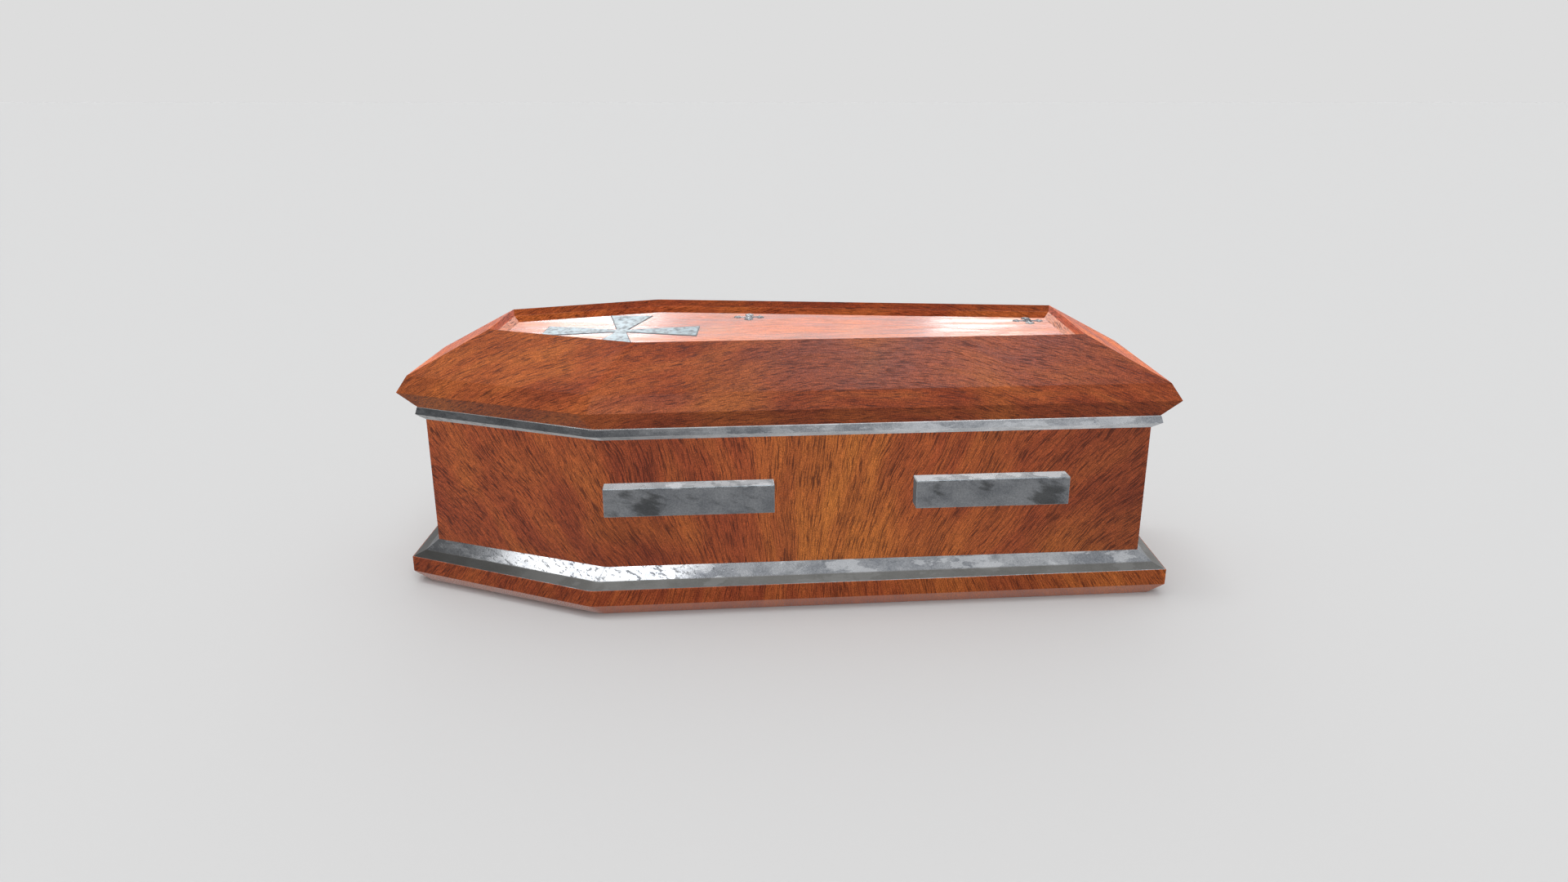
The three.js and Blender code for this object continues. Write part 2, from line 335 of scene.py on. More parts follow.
def grain_place(material, pattern, along_axis, centre):
    """Coordinates across the grain, along it and into the board.

    Radial grain fans out from `centre`, ring grain curves round it, and straight grain runs along its
    axis. `centre` is given along the board and in height.
    """
    u, depth = (material.x, material.y) if along_axis == "X" else (material.y, material.x)
    if pattern == "straight":
        return depth, u, material.z
    du = material.math("SUBTRACT", u, centre[0])
    dz = material.math("SUBTRACT", material.z, centre[1])
    radius = material.hypotenuse(du, dz)
    angle = material.math("ARCTAN2", du, material.math("ABSOLUTE", dz))
    arc = material.math("MULTIPLY", angle, abs(centre[1]))
    if pattern == "radial":
        return arc, radius, depth
    return radius, material.math("MULTIPLY", arc, RING_CROWDING), depth


def near(material, middle, half_width, amount):
    """`amount` at X = middle, fading out half_width away."""
    distance = material.math("ABSOLUTE", material.math("SUBTRACT", material.x, middle))
    return material.step(distance, 0.0, half_width, amount, 0.0)


def wood(name, pattern, along_axis="X", centre=(0.0, 1.0), gold=None, dark=(), shade=None,
         painted_reflection=None, gloss=(0.16, 0.26), specular=0.22, level=1.0, paleness=0.0):
    """Varnished hardwood with fine dark pores.

    `gold` is a place along X, with a half width and an amount, where the board turns golden in streaks,
    and `dark` lists such places where it turns dark. `shade` paints shade: it darkens the wood below its
    first height, fading out at its second, and `painted_reflection` paints a pale reflection there
    instead. `gloss` is the roughness where the figure is weak and where it is strong. `level` and
    `paleness` darken or lighten all of it.
    """
    material = Material(name)
    across, along, depth = grain_place(material, pattern, along_axis, centre)
    drift = material.noise(material.place, DRIFT_SCALE, detail=1.0)
    ripple = material.noise(material.place, RIPPLE_SCALE, detail=1.0)
    across = material.math("ADD", across, material.math("MULTIPLY", drift, DRIFT_REACH))
    across = material.math("ADD", across, material.math("MULTIPLY", ripple, RIPPLE_REACH))
    grain = material.vector(across, along, depth)

    figure = material.noise(grain, FIGURE_SCALE, detail=1.0)
    cloud = material.noise(material.place, CLOUD_SCALE)
    fibre = material.noise(grain, FIBRE_SCALE, roughness=0.65)
    speckle = material.noise(material.place, SPECKLE_SCALE, detail=1.0)
    crowding = material.math("MULTIPLY", material.math("SUBTRACT", 0.5, figure), PORE_CROWDING)
    dashes = material.math("ADD", material.noise(grain, PORE_SCALE), crowding)
    pore = material.step(dashes, *PORE_FADE)

    colour = material.ramp(figure, WOOD_TONES)
    colour = material.mix(material.step(cloud, *CLOUD_FADE, top=CLOUD_GOLD), colour, WOOD_GOLD)
    if gold:
        streaks = material.step(figure, *NARROW_FADE, *GOLD_STREAKS)
        amount = material.math("MULTIPLY", near(material, *gold), streaks)
        colour = material.mix(amount, colour, WOOD_GOLD)
    for place in dark:
        colour = material.dim(colour, material.math("SUBTRACT", 1.0, near(material, *place)))
    if paleness:
        colour = material.mix(paleness, colour, WOOD_PALE)
    light = material.math("MULTIPLY", material.step(fibre, *FADE, *FIBRE_LIGHT),
                          material.step(speckle, *WIDE_FADE, *SPECKLE_LIGHT))
    colour = material.dim(colour, light)
    colour = material.mix(material.math("MULTIPLY", pore, PORE_DARKNESS), colour, WOOD_PORE)
    # Painted reflection, paler below the given height
    if painted_reflection:
        pale = material.step(material.z, *painted_reflection, PAINTED_REFLECTION_AMOUNT, 0.0)
        colour = material.mix(pale, colour, WOOD_REFLECTION)
    # Painted shade, darker below the given height
    if shade:
        colour = material.dim(colour, material.step(material.z, *shade, PAINTED_SHADE_LEVEL, 1.0))
    if level != 1.0:
        colour = material.dim(colour, level)

    roughness = material.math("ADD", material.step(figure, *FADE, *gloss),
                              material.math("MULTIPLY", pore, PORE_ROUGHNESS))
    material.put(material.shader.inputs["Base Color"], colour)
    material.put(material.shader.inputs["Roughness"], roughness)
    material.shader.inputs["Specular IOR Level"].default_value = specular
    relief = material.math("SUBTRACT", material.math("MULTIPLY", fibre, FIBRE_RELIEF), pore)
    material.bump(relief, WOOD_BUMP_STRENGTH, WOOD_BUMP_HEIGHT)
    return material.made


# Colours of the metal
METAL_DARK = srgb(95, 98, 103)
METAL_LIGHT = srgb(140, 142, 145)
METAL_FLAKE = srgb(162, 164, 167)
METAL_STAIN = srgb(70, 74, 76)
METAL_SMUDGE = srgb(46, 47, 46)
METAL_LOWER_BAND = srgb(86, 84, 79)
METAL_PALE = srgb(196, 226, 238)

# Patterns of the metal, in blotches to the metre along X, Y and Z. Scratches and marks lean.
MOTTLE_SCALE = (11.0, 11.0, 16.0)
FLAKE_SCALE = (7.0, 7.0, 26.0)
STAIN_SCALE = (16.0, 16.0, 34.0)
SCRATCH_SCALE = (45.0, 45.0, 150.0)
DUST_SCALE = (260.0, 260.0, 260.0)
MARK_SCALE = (20.0, 20.0, 60.0)
SCUFF_ANGLE = math.radians(-22)

# Noise values between which a pattern fades in
FLAKE_FADE = (0.53, 0.555)
STAIN_FADE = (0.60, 0.63)
SCRATCH_FADE = (0.415, 0.46)
MARK_FADE = (0.54, 0.84)
PALE_FADE = (0.42, 0.58)

# Strengths of the patterns
FLAKE_AMOUNT = 0.75
STAIN_AMOUNT = 0.4
MOTTLE_LEAST = 0.25
MOTTLE_MORE = 0.25
DUST_AMOUNT = 0.25
PALE_RANGE = (0.4, 1.4)
LOWER_BAND_AMOUNT = 0.75
LOWER_BAND_ROUGHNESS = 0.55
DUST_RELIEF = 0.2
METAL_BUMP_STRENGTH = 0.08
METAL_BUMP_HEIGHT = 0.0015

# How closely marks crowd in the middle of a smudge, for each metre of its radius
SMUDGE_CROWDING = 5.7


def crowd_into(material, marks, smudges):
    """The marks with more of them in the smudges: X, Z and a radius each."""
    for x, z, radius in smudges:
        away = material.hypotenuse(material.math("SUBTRACT", material.x, x),
                                   material.math("SUBTRACT", material.z, z))
        crowding = material.step(away, 0.0, radius, SMUDGE_CROWDING * radius, 0.0)
        marks = material.math("ADD", marks, crowding)
    return marks


def metal(name, contrast=1.0, head_to_foot=None, lower_band=None, smudges=(), scuffs=0.0,
          gloss=(0.16, 0.34), level=1.0, metallic=0.85, specular=0.5, paleness=0.0):
    """Worn grey metal with crisp-edged mottling.

    `lower_band` makes it darker and duller below its first height, fading out at its second.
    `head_to_foot` is two places along X and its brightness there. `scuffs` is the strength of slanting
    dark marks, which crowd together in `smudges`: X, Z and a radius each. `gloss` is the roughness where
    it is polished and where it is scratched. `level` and `paleness` darken or lighten all of it.
    """
    material = Material(name)
    slant = material.add("ShaderNodeVectorRotate", {"Vector": material.place, "Angle": SCUFF_ANGLE},
                         rotation_type="Y_AXIS")
    mottle = material.noise(material.place, MOTTLE_SCALE, detail=5.0, roughness=0.58)
    patches = material.noise(material.place, FLAKE_SCALE, detail=5.0, roughness=0.62)
    stains = material.noise(material.place, STAIN_SCALE, detail=4.0, roughness=0.6)
    scratches = material.noise(slant, SCRATCH_SCALE, detail=6.0, roughness=0.7)
    dust = material.noise(material.place, DUST_SCALE, roughness=0.65)
    flakes = material.step(patches, *FLAKE_FADE, top=FLAKE_AMOUNT * contrast)
    stained = material.step(stains, *STAIN_FADE, top=STAIN_AMOUNT * contrast)
    polished = material.step(scratches, *SCRATCH_FADE)

    spread = MOTTLE_LEAST + MOTTLE_MORE * contrast
    tone = material.math("ADD", material.step(mottle, *FADE, 0.5 - spread, 0.5 + spread),
                         material.step(dust, *WIDE_FADE, -DUST_AMOUNT, DUST_AMOUNT))
    colour = material.mix(tone, METAL_DARK, METAL_LIGHT)
    colour = material.mix(flakes, colour, METAL_FLAKE)
    colour = material.mix(stained, colour, METAL_STAIN)
    roughness = material.step(polished, 0.0, 1.0, gloss[1], gloss[0])
    if scuffs:
        marks = material.noise(slant, MARK_SCALE, detail=4.0, roughness=0.6)
        marks = crowd_into(material, marks, smudges)
        colour = material.mix(material.step(marks, *MARK_FADE, top=scuffs), colour, METAL_SMUDGE)
    if level != 1.0:
        colour = material.dim(colour, level)
    if paleness:
        least, most = PALE_RANGE
        pale = material.step(scratches, *PALE_FADE, least * paleness, most * paleness)
        colour = material.mix(pale, colour, METAL_PALE)
    if lower_band:
        lower_share = material.step(material.z, *lower_band, 1.0, 0.0)
        colour = material.mix(material.math("MULTIPLY", lower_share, LOWER_BAND_AMOUNT), colour, METAL_LOWER_BAND)
        dull = material.math("MULTIPLY", lower_share, LOWER_BAND_ROUGHNESS)
        roughness = material.math("MAXIMUM", roughness, dull)
    if head_to_foot:
        colour = material.dim(colour, material.step(material.x, *head_to_foot))

    material.put(material.shader.inputs["Base Color"], colour)
    material.put(material.shader.inputs["Roughness"], roughness)
    material.shader.inputs["Metallic"].default_value = metallic
    material.shader.inputs["Specular IOR Level"].default_value = specular
    relief = material.math("ADD", mottle, material.math("MULTIPLY", dust, DUST_RELIEF))
    material.bump(relief, METAL_BUMP_STRENGTH, METAL_BUMP_HEIGHT)
    return material.made


def box_plan(inset=0.0):
    """The back half of the box plan, from head corner to foot corner, with the shoulder as an arc."""
    head = Vector((-BOX_HALF_LENGTH, HEAD_HALF_WIDTH))
    shoulder = Vector((SHOULDER_X, SHOULDER_HALF_WIDTH))
    foot = Vector((BOX_HALF_LENGTH, FOOT_HALF_WIDTH))
    along_head = (shoulder - head).normalized()
    along_foot = (foot - shoulder).normalized()
    turn = math.atan2(along_head.cross(along_foot), along_head.dot(along_foot))
    tangent = SHOULDER_BEND_RADIUS * math.tan(abs(turn) / 2)

    inward = Vector((along_head.y, -along_head.x))
    centre = shoulder - along_head * tangent + inward * SHOULDER_BEND_RADIUS
    bend = []
    for step in range(SHOULDER_BEND_STEPS + 1):
        outward = Matrix.Rotation(turn * step / SHOULDER_BEND_STEPS, 2) @ -inward
        bend.append(centre + outward * (SHOULDER_BEND_RADIUS - inset))

    head_x = -BOX_HALF_LENGTH + inset
    foot_x = BOX_HALF_LENGTH - inset
    head_y = bend[0].y + (head_x - bend[0].x) * along_head.y / along_head.x
    foot_y = bend[-1].y + (foot_x - bend[-1].x) * along_foot.y / along_foot.x
    return [Vector((head_x, head_y)), *bend, Vector((foot_x, foot_y))]


def course_line(corner):
    """The back half of the line that one section corner draws round the coffin."""
    if corner.inset is not None:
        return box_plan(corner.inset)
    stretch_x = 1 + corner.end / BOX_HALF_LENGTH
    stretch_y = 1 + corner.side / SHOULDER_HALF_WIDTH
    return [Vector((p.x * stretch_x, p.y * stretch_y)) for p in box_plan()]


def soften(ring, section):
    """The ring with its soft corners as short curves."""
    points = []
    for i, (point, corner) in enumerate(zip(ring, section)):
        if not corner.soft:
            points.append(point)
            continue
        before = point + (ring[i - 1] - point).normalized() * corner.soft
        after = point + (ring[(i + 1) % len(ring)] - point).normalized() * corner.soft
        for step in range(ARRIS_STEPS + 1):
            t = step / ARRIS_STEPS
            points.append(before * (1 - t) ** 2 + point * 2 * t * (1 - t) + after * t ** 2)
    return points


def edge_materials(section):
    """Which of a course's materials each edge of the softened ring takes: plain, pale (wear and painted
    highlight) or cove.
    """
    indices = []
    for corner in section:
        if corner.soft:
            indices.extend([WORN_AND_HIGHLIT if corner.worn_and_highlit else PLAIN] * ARRIS_STEPS)
        indices.append(COVE if corner.cove else PLAIN)
    return indices


def piece_from(bm, name, materials):
    """An object from a closed bmesh, smooth but for its sharp edges."""
    bmesh.ops.recalc_face_normals(bm, faces=bm.faces)
    mesh = bpy.data.meshes.new(name)
    bm.to_mesh(mesh)
    bm.free()
    mesh.shade_smooth()
    mesh.set_sharp_from_angle(angle=SHARP_ANGLE)
    for material in materials:
        mesh.materials.append(material)
    piece = bpy.data.objects.new(name, mesh)
    bpy.context.scene.collection.objects.link(piece)
    return piece


def even_shading(piece):
    """Keeps broad flat faces flat next to their soft edges."""
    modifier = piece.modifiers.new("even_shading", "WEIGHTED_NORMAL")
    modifier.keep_sharp = True


def stand_for(piece, node, shadow=True):
    """Puts a piece in a solid's place, on the coffin's one body.

    Pieces stay out of each other's reflections, and those that jut out from the walls cast no shadow on
    what is below them, because the light in the photograph is even all over the coffin.
    """
    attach(piece, "root")
    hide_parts(node)
    piece.visible_glossy = False
    piece.visible_diffuse = shadow
    piece.visible_shadow = shadow


def loft(name, rings, indices, materials):
    """A closed piece through like rings, with a material index for each edge of a ring."""
    bm = bmesh.new()
    rows = [[bm.verts.new(point) for point in ring] for ring in rings]
    count = len(indices)
    for row, following in zip(rows, rows[1:]):
        for i in range(count):
            j = (i + 1) % count
            face = bm.faces.new((row[i], row[j], following[j], following[i]))
            face.material_index = indices[i]
    bm.faces.new(rows[0])
    bm.faces.new(rows[-1])
    piece = piece_from(bm, name, materials)
    even_shading(piece)
    return piece


def add_course(course, section, long_materials, end_materials, shadow=True):
    """Four lengths of one section round the coffin, mitred at the head and foot corners."""
    lines = [course_line(corner) for corner in section]
    stations = len(lines[0])
    half_gap = MITRE_GAP / 2

    def ring_at(station, sign, trim_x, trim_y):
        ring = []
        for corner, line in zip(section, lines):
            point = line[station]
            ring.append(Vector((point.x + trim_x, sign * (point.y - trim_y), corner.z)))
        return ring

    def add_length(place, rings, materials):
        node = f"{course}_{place}"
        softened = [soften(ring, section) for ring in rings]
        piece = loft(f"{node}_finished", softened, edge_materials(section), materials)
        stand_for(piece, node, shadow)

    for place, station in (("head", 0), ("foot", stations - 1)):
        rings = [ring_at(station, 1, 0.0, half_gap), ring_at(station, -1, 0.0, half_gap)]
        add_length(place, rings, end_materials)
    trims = [half_gap, *[0.0] * (stations - 2), -half_gap]
    for place, sign in (("front", -1), ("back", 1)):
        rings = [ring_at(station, sign, trim, 0.0) for station, trim in enumerate(trims)]
        add_length(place, rings, long_materials)


def block_shell(widths, depths, heights, is_solid):
    """A closed bmesh of the solid cells of a grid of blocks."""
    bm = bmesh.new()
    corners = {}

    def corner(i, j, k):
        if (i, j, k) not in corners:
            corners[i, j, k] = bm.verts.new((widths[i], depths[j], heights[k]))
        return corners[i, j, k]

    cells = {(i, j, k) for i in range(len(widths) - 1) for j in range(len(depths) - 1)
             for k in range(len(heights) - 1) if is_solid(i, j, k)}
    for i, j, k in sorted(cells):
        for axis in range(3):
            for side in (0, 1):
                neighbour = [i, j, k]
                neighbour[axis] += 2 * side - 1
                if tuple(neighbour) in cells:
                    continue
                face = []
                for a, b in ((0, 0), (1, 0), (1, 1), (0, 1)):
                    offset = [a, b]
                    offset.insert(axis, side)
                    face.append(corner(i + offset[0], j + offset[1], k + offset[2]))
                bm.faces.new(face)
    return bm


def handle_material(face_middle, half_length):
    """Which of a handle's materials a face takes, from its middle in the handle's own frame."""
    if face_middle.z > HANDLE_HEIGHT - HANDLE_METAL / 2:
        return HANDLE_TOP
    if abs(face_middle.x) > half_length - HANDLE_METAL / 2:
        return HANDLE_END
    return HANDLE_FRONT


def add_handles(materials):
    """Pressed metal boxes, open below for the fingers and open against the wall."""
    shoulder = Vector((SHOULDER_X, SHOULDER_HALF_WIDTH))
    foot = Vector((BOX_HALF_LENGTH, FOOT_HALF_WIDTH))
    along = (foot - shoulder).normalized()
    depths = (0.0, HANDLE_DEPTH - HANDLE_METAL, HANDLE_DEPTH)
    heights = (0.0, HANDLE_HEIGHT - HANDLE_METAL, HANDLE_HEIGHT)
    for place, sign in (("front", -1), ("back", 1)):
        outward = Vector((-along.y, sign * along.x))
        turn = math.atan2(outward.y, outward.x) - math.pi / 2
        for number, (start, length) in enumerate(HANDLE_PLACES, 1):
            half = length / 2
            widths = (-half, -half + HANDLE_METAL, half - HANDLE_METAL, half)
            bm = block_shell(widths, depths, heights, lambda i, j, k: (i, j, k) != (1, 0, 0))
            for face in bm.faces:
                face.material_index = handle_material(face.calc_center_median(), half)
            middle = shoulder + along * (start + half)
            place_on_wall = Vector((middle.x, sign * middle.y)) + outward * FIT_GAP
            to_wall = Matrix.Translation((*place_on_wall, HANDLE_BOTTOM))
            bm.transform(to_wall @ Matrix.Rotation(turn, 4, "Z"))
            node = f"handle_{place}_{number}"
            piece = piece_from(bm, f"{node}_finished", materials)
            soft_edges = piece.modifiers.new("soft_edges", "BEVEL")
            soft_edges.width = HANDLE_ARRIS
            soft_edges.segments = ARRIS_STEPS
            soft_edges.limit_method = "ANGLE"
            soft_edges.angle_limit = SHARP_ANGLE
            soft_edges.material = HANDLE_EDGE
            even_shading(piece)
            stand_for(piece, node, shadow=False)


def cross_line(inset):
    """The cross's outline, `inset` inside its edge, as one arm turned by quarter turns."""
    span = CROSS_HALF_SPAN - inset
    flare = (CROSS_END_HALF_WIDTH - CROSS_WAIST_HALF_WIDTH) / (CROSS_HALF_SPAN - CROSS_WAIST_HALF_WIDTH)
    across = inset * math.hypot(1, flare)
    end_half_width = CROSS_WAIST_HALF_WIDTH + (span - CROSS_WAIST_HALF_WIDTH) * flare - across
    waist = CROSS_WAIST_HALF_WIDTH - across / (1 - flare)
    line = []
    for quarter in range(4):
        turn = Matrix.Rotation(quarter * math.pi / 2, 2)
        for x, y in ((span, -end_half_width), (span, end_half_width), (waist, waist)):
            line.append(turn @ Vector((x, y)) + Vector((CROSS_X, 0.0)))
    return line


def add_cross(materials):
    """A thin plate with a rounded edge, lying on the panel."""
    bm = bmesh.new()
    steps = [0.0] + [step / CROSS_BEVEL_STEPS for step in range(CROSS_BEVEL_STEPS + 1)]
    rings = []
    for i, share in enumerate(steps):
        angle = share * math.pi / 2
        inset = CROSS_BEVEL * (1 - math.cos(angle))
        rise = CROSS_EDGE_SHARE + (1 - CROSS_EDGE_SHARE) * math.sin(angle)
        height = 0.0 if i == 0 else CROSS_THICKNESS * rise
        rings.append([bm.verts.new((*p, PANEL_TOP + height)) for p in cross_line(inset)])
    for ring, above in zip(rings, rings[1:]):
        for i in range(len(ring)):
            j = (i + 1) % len(ring)
            face = bm.faces.new((ring[i], ring[j], above[j], above[i]))
            face.material_index = CROSS_EDGE
    for ring in (rings[0], rings[-1]):
        bm.faces.new(ring).material_index = CROSS_FACE
    piece = piece_from(bm, "cross_finished", materials)
    even_shading(piece)
    stand_for(piece, "cross")


def add_ball(bm, place, radii):
    """A ball, pulled to its own radius along each axis."""
    matrix = Matrix.Translation(place) @ Matrix.Diagonal((*radii, 1.0))
    bmesh.ops.create_uvsphere(bm, u_segments=BALL_SEGMENTS, v_segments=BALL_SEGMENTS // 2, radius=1.0,
                              matrix=matrix)


def ornament_mesh(centre):
    """A small cast cross with three-lobed tips and a domed boss, cut flat where it lies on the panel."""
    bm = bmesh.new()
    tip = ORNAMENT_REACH - ORNAMENT_LOBE_RADIUS
    lobe = (ORNAMENT_LOBE_RADIUS, ORNAMENT_LOBE_RADIUS, ORNAMENT_LOBE_HEIGHT)
    add_ball(bm, (0, 0, 0), (ORNAMENT_SEAT_RADIUS, ORNAMENT_SEAT_RADIUS, ORNAMENT_SEAT_HEIGHT))
    add_ball(bm, (0, 0, 0), (ORNAMENT_BOSS_RADIUS, ORNAMENT_BOSS_RADIUS, ORNAMENT_BOSS_HEIGHT))
    for quarter in range(4):
        turn = Matrix.Rotation(quarter * math.pi / 2, 3, "Z")
        for x, y in ((tip, 0), (tip - ORNAMENT_LOBE_RADIUS, ORNAMENT_LOBE_RADIUS),
                     (tip - ORNAMENT_LOBE_RADIUS, -ORNAMENT_LOBE_RADIUS)):
            add_ball(bm, turn @ Vector((x, y, 0)), lobe)
        to_middle = Matrix.Translation((tip / 2, 0, 0))
        stem = turn.to_4x4() @ to_middle @ Matrix.Rotation(math.pi / 2, 4, "Y")
        bmesh.ops.create_cone(bm, cap_ends=True, segments=ROD_SEGMENTS, radius1=ORNAMENT_ARM_RADIUS,
                              radius2=ORNAMENT_ARM_RADIUS, depth=tip, matrix=stem)
    bm.transform(Matrix.Translation(centre))
    mesh = bpy.data.meshes.new("ornament_parts")
    bm.to_mesh(mesh)
    bm.free()
    parts = bpy.data.objects.new("ornament_parts", mesh)
    bpy.context.scene.collection.objects.link(parts)
    fuse = parts.modifiers.new("fuse", "REMESH")
    fuse.mode = "VOXEL"
    fuse.voxel_size = ORNAMENT_VOXEL
    smooth = parts.modifiers.new("smooth", "SMOOTH")
    smooth.factor = ORNAMENT_SMOOTHING
    smooth.iterations = ORNAMENT_SMOOTHING_ROUNDS
    fused = bmesh.new()
    fused.from_object(parts, bpy.context.evaluated_depsgraph_get())
    bpy.data.objects.remove(parts)
    whole = [*fused.verts, *fused.edges, *fused.faces]
    cut = bmesh.ops.bisect_plane(fused, geom=whole, plane_co=centre, plane_no=(0, 0, 1), clear_inner=True)
    rim = [edge for edge in cut["geom_cut"] if isinstance(edge, bmesh.types.BMEdge)]
    bmesh.ops.contextual_create(fused, geom=rim)
    return fused


def add_ornaments(materials):
    """The small crosses, each in the middle of its solid."""
    for place in ("front", "back"):
        for number in range(1, ORNAMENTS_ON_A_SIDE + 1):
            node = f"lid_ornament_{place}_{number}"
            low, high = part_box(node)
            centre = Vector(((low.x + high.x) / 2, (low.y + high.y) / 2, PANEL_TOP))
            piece = piece_from(ornament_mesh(centre), f"{node}_finished", materials)
            stand_for(piece, node)


def finish_node(node, material):
    """Gives a solid that stays in view its material."""
    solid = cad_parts[node]
    solid.visible_glossy = False
    mesh = solid.data
    mesh.materials.clear()
    mesh.materials.append(material)


def add_floor():
    """A plain pale floor as wide as the eye can see."""
    bm = bmesh.new()
    bmesh.ops.create_grid(bm, x_segments=1, y_segments=1, size=FLOOR_HALF_SIZE)
    floor_paint = Material("floor_paint")
    floor_paint.shader.inputs["Base Color"].default_value = FLOOR_COLOUR
    floor_paint.shader.inputs["Roughness"].default_value = 1.0
    floor_paint.shader.inputs["Specular IOR Level"].default_value = 0.0
    floor = piece_from(bm, "floor", [floor_paint.made])
    floor.visible_glossy = False


@dataclass
class Light:
    """A soft round light at a great distance. Its bearing goes from +Y towards +X, in degrees."""

    bearing: float
    elevation: float
    full_radius: float
    outer_radius: float
    colour: tuple

    def aim(self):
        bearing = math.radians(self.bearing)
        elevation = math.radians(self.elevation)
        level = math.cos(elevation)
        return (level * math.sin(bearing), level * math.cos(bearing), math.sin(elevation))


AMBIENT = (0.75, 0.75, 0.75)
STUDIO_LIGHTS = (
    # Overhead
    Light(0, 90, 10, 50, (1.0, 1.0, 1.0)),
    # Highlights on the base moulding round the shoulder
    Light(-155, 83, 1.6, 2.6, (12.0, 12.0, 12.0)),
    Light(-78, 78.5, 4, 7, (6.0, 6.0, 6.0)),
    Light(-66, 65, 4, 6.5, (6.0, 6.0, 6.0)),
    Light(-80.5, 60, 3.5, 5.5, (9.0, 9.0, 9.0)),
    # Behind: a glow and two bright spots that the level faces mirror
    Light(0, 32, 12, 28, (0.7, 0.68, 0.68)),
    Light(-10, 8, 2.5, 4.2, (8.0, 8.0, 8.0)),
    Light(11.0, 11, 1.4, 3.7, (6.0, 5.9, 5.8)),
    # In front: a bluish sheen on the lid's slope, and a low fill
    Light(157, 48, 7, 14, (4.6, 4.9, 5.3)),
    Light(180, 17, 8, 14, (2.4, 2.4, 2.4)),
)


def light_studio():
    """A world of soft lights, with a plain backdrop where the camera looks past them."""
    world = bpy.data.worlds.new("studio")
    bpy.context.scene.world = world
    world.use_nodes = True
    tree = world.node_tree
    direction = tree.nodes.new("ShaderNodeTexCoord").outputs["Generated"]
    total = None
    for light in STUDIO_LIGHTS:
        facing = tree.nodes.new("ShaderNodeVectorMath")
        facing.operation = "DOT_PRODUCT"
        facing.inputs[1].default_value = light.aim()
        tree.links.new(direction, facing.inputs[0])
        disc = tree.nodes.new("ShaderNodeMapRange")
        disc.interpolation_type = "SMOOTHSTEP"
        disc.inputs[1].default_value = math.cos(math.radians(light.outer_radius))
        disc.inputs[2].default_value = math.cos(math.radians(light.full_radius))
        tree.links.new(facing.outputs["Value"], disc.inputs[0])
        add = tree.nodes.new("ShaderNodeVectorMath")
        add.operation = "MULTIPLY_ADD"
        add.inputs[1].default_value = light.colour
        tree.links.new(disc.outputs[0], add.inputs[0])
        if total:
            tree.links.new(total, add.inputs[2])
        else:
            add.inputs[2].default_value = AMBIENT
        total = add.outputs[0]
    choice = tree.nodes.new("ShaderNodeMix")
    choice.data_type = "RGBA"
    tree.links.new(tree.nodes.new("ShaderNodeLightPath").outputs["Is Camera Ray"], choice.inputs[0])
    tree.links.new(total, choice.inputs[6])
    choice.inputs[7].default_value = BACKDROP
    tree.links.new(choice.outputs[2], tree.nodes["Background"].inputs["Color"])


def add_camera():
    """The camera, where the photograph was taken from."""
    data = bpy.data.cameras.new("camera")
    data.sensor_width = CAMERA_SENSOR
    data.lens = CAMERA_LENS
    camera = bpy.data.objects.new("camera", data)
    camera.location = CAMERA_PLACE
    camera.rotation_euler = (math.pi / 2 + CAMERA_PITCH, 0.0, -CAMERA_YAW)
    bpy.context.scene.collection.objects.link(camera)
    bpy.context.scene.camera = camera


add_camera()
light_studio()
add_floor()
bpy.context.scene.view_settings.view_transform = "Standard"

# Heights between which a finish fades out: painted shade under the lid's eave, a painted reflection on
# the plinth's bottom bevel, and the darker, duller lower band of the base moulding
EAVE_SHADE_BAND = (EAVE_HEIGHT - EAVE_FADE, EAVE_HEIGHT + EAVE_FADE)
PLINTH_CHAMFER_REFLECTION = (0.032, 0.034)
BASE_LOWER_BAND = (0.0885, 0.0915)

# How pale the plinth's top edge is, as wear and as a painted highlight
EDGE_WEAR_AND_HIGHLIGHT = 0.1

wall_long = wood("wall_long", "radial", centre=(0.02, -0.64), gold=(0.13, 0.26, 0.8),
                 dark=((1.0, 0.6, 0.3), (-0.35, 0.3, 0.12)), level=0.925)
wall_end = wood("wall_end", "radial", "Y", centre=(0.0, -1.2))
# The plinth's bottom bevel is lightened pink as a painted reflection
plinth_finish = dict(painted_reflection=PLINTH_CHAMFER_REFLECTION, specular=0.12, level=0.80)
plinth_looks = dict(centre=(0.1, 1.25), gold=(1.0, 0.7, 0.4), **plinth_finish)
plinth_long = [wood("plinth_long", "radial", **plinth_looks),
               wood("plinth_long_edge", "radial", **plinth_looks, paleness=EDGE_WEAR_AND_HIGHLIGHT)]
plinth_end_looks = dict(centre=(0.0, 1.6), **plinth_finish)
plinth_end = [wood("plinth_end", "radial", "Y", **plinth_end_looks),
              wood("plinth_end_edge", "radial", "Y", **plinth_end_looks, paleness=EDGE_WEAR_AND_HIGHLIGHT)]
# The lid's wood darkens below the eave as painted shade
lid_looks = dict(centre=(0.15, -1.37), gold=(-0.9, 0.6, 0.28),
                 dark=((0.1, 0.55, 0.14), (0.9, 0.5, 0.1)), shade=EAVE_SHADE_BAND, level=0.88)
lid_long = wood("lid_long", "rings", **lid_looks, specular=0.18)
lid_cove = wood("lid_cove", "rings", **lid_looks, specular=0.02, gloss=(0.4, 0.5))
# The lid's head and foot slopes are a far lighter copy of the lid wood: a painted reflection of grazing
# glare, with painted shade below the eave
lid_end = wood("lid_end", "rings", "Y", centre=(0.0, -1.0), shade=EAVE_SHADE_BAND, gloss=(0.4, 0.5),
               specular=0.17, level=2.0)
# The end coves are paled as painted glare
lid_end_cove = wood("lid_end_cove", "straight", "Y", gloss=(0.3, 0.4), paleness=0.6)
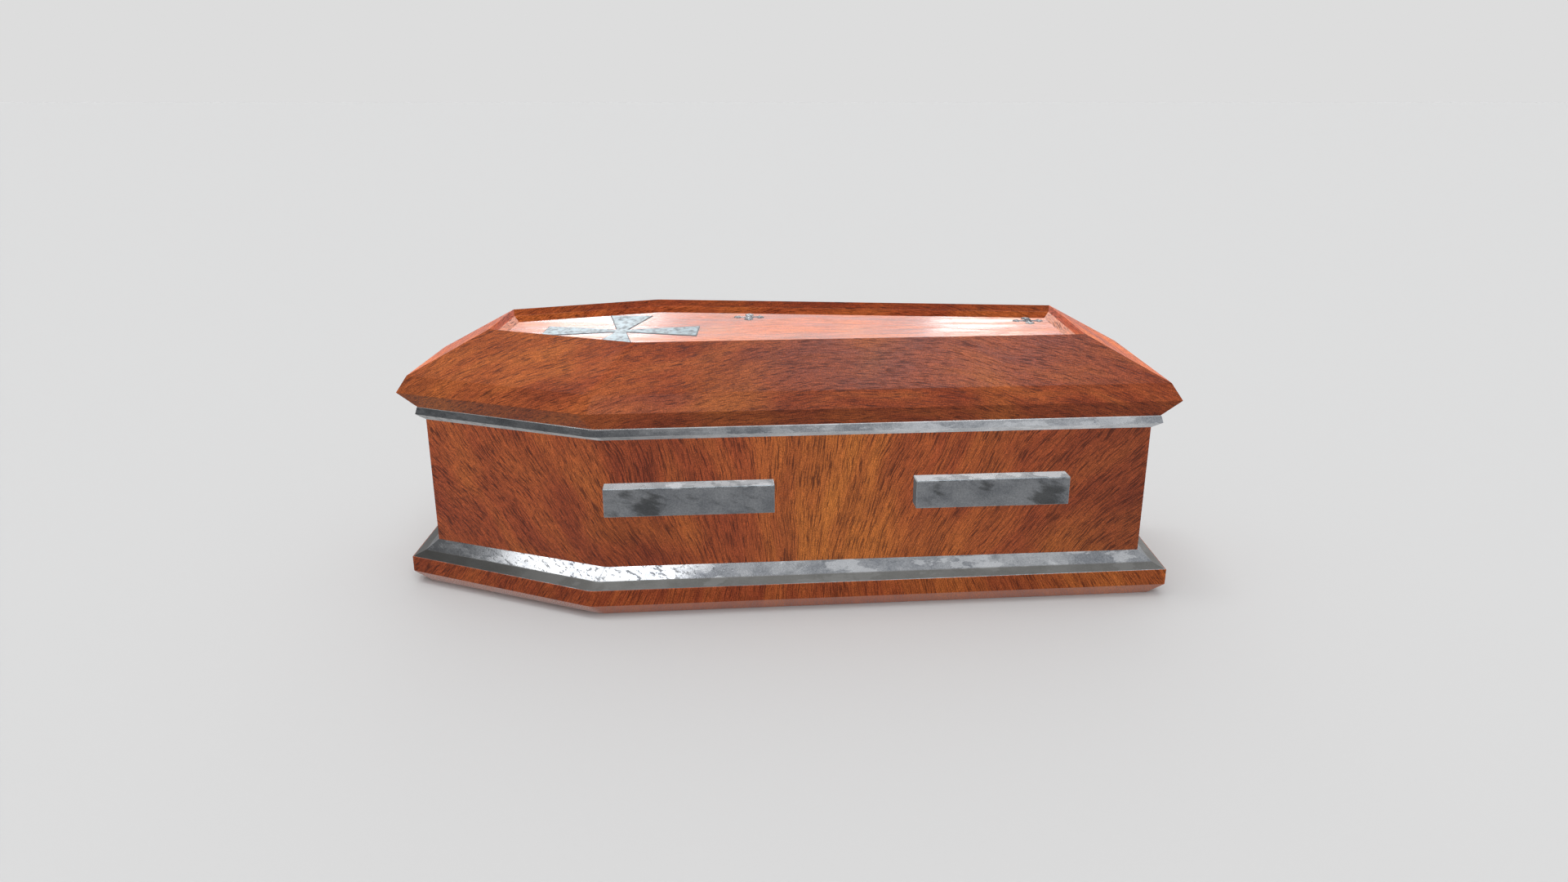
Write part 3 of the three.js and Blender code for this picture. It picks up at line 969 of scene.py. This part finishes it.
# The panel's wood is lightened far beyond the lid's as painted glare, on top of its own reflection
panel_wood = wood("panel_wood", "straight", gloss=(0.14, 0.34), specular=0.66, level=1.8)
board = wood("board", "straight")

rim_metal = metal("rim_metal", contrast=0.5, head_to_foot=(-0.6, 0.4, 0.43, 2.05))
# head_to_foot darkens the base moulding towards its head end as a painted reflection of darker
# surroundings
base_metal = metal("base_metal", contrast=0.7, head_to_foot=(-0.95, -0.3, 0.3, 1.0), lower_band=BASE_LOWER_BAND,
                   gloss=(0.12, 0.42), level=0.9)
base_end_metal = metal("base_end_metal", contrast=0.7, head_to_foot=(-0.9, 0.9, 0.45, 1.3),
                       lower_band=BASE_LOWER_BAND, gloss=(0.45, 0.6), metallic=0.4)
# The base moulding's lower lip is pale as wear and as a painted edge highlight
lip_metal = metal("lip_metal", contrast=0.5, head_to_foot=(-0.4, 0.6, 0.3, 1.5), paleness=0.4)
handle_metal = metal("handle_metal", contrast=0.1, level=0.96, scuffs=0.68, smudges=HANDLE_SMUDGES)
# A darker, duller copy of the handle metal for the end faces: painted shade
handle_end_shaded_metal = metal("handle_end_shaded_metal", contrast=0.1, gloss=(0.5, 0.6), level=0.6, metallic=0.0,
                         specular=0.05)
handle_top_metal = metal("handle_top_metal", contrast=1.2, gloss=(0.12, 0.4))
plate_metal = metal("plate_metal", contrast=1.4, gloss=(0.42, 0.62), level=0.56, metallic=0.5,
                    paleness=0.30)
ornament_metal = metal("ornament_metal", contrast=1.4, gloss=(0.2, 0.4), level=0.8)
plate_edge_metal = metal("plate_edge_metal", gloss=(0.5, 0.6), level=0.6, metallic=0.3)
# Pale edges of the handles: wear and a painted edge highlight
worn_highlit_metal = metal("worn_highlit_metal", contrast=0.5, paleness=0.1)

add_course("wall", WALL, [wall_long], [wall_end])
add_course("plinth", PLINTH, plinth_long, plinth_end)
add_course("base_moulding", BASE_MOULDING, [base_metal, lip_metal], [base_end_metal, lip_metal])
add_course("rim_strip", RIM_STRIP, [rim_metal], [rim_metal], shadow=False)
add_course("lid_frame", LID_FRAME, [lid_long, lid_long, lid_cove],
           [lid_end, lid_end, lid_end_cove], shadow=False)
add_handles([handle_metal, worn_highlit_metal, handle_top_metal, handle_end_shaded_metal])
add_cross([plate_metal, plate_edge_metal])
add_ornaments([ornament_metal])
finish_node("lid_panel", panel_wood)
finish_node("floor_board", board)
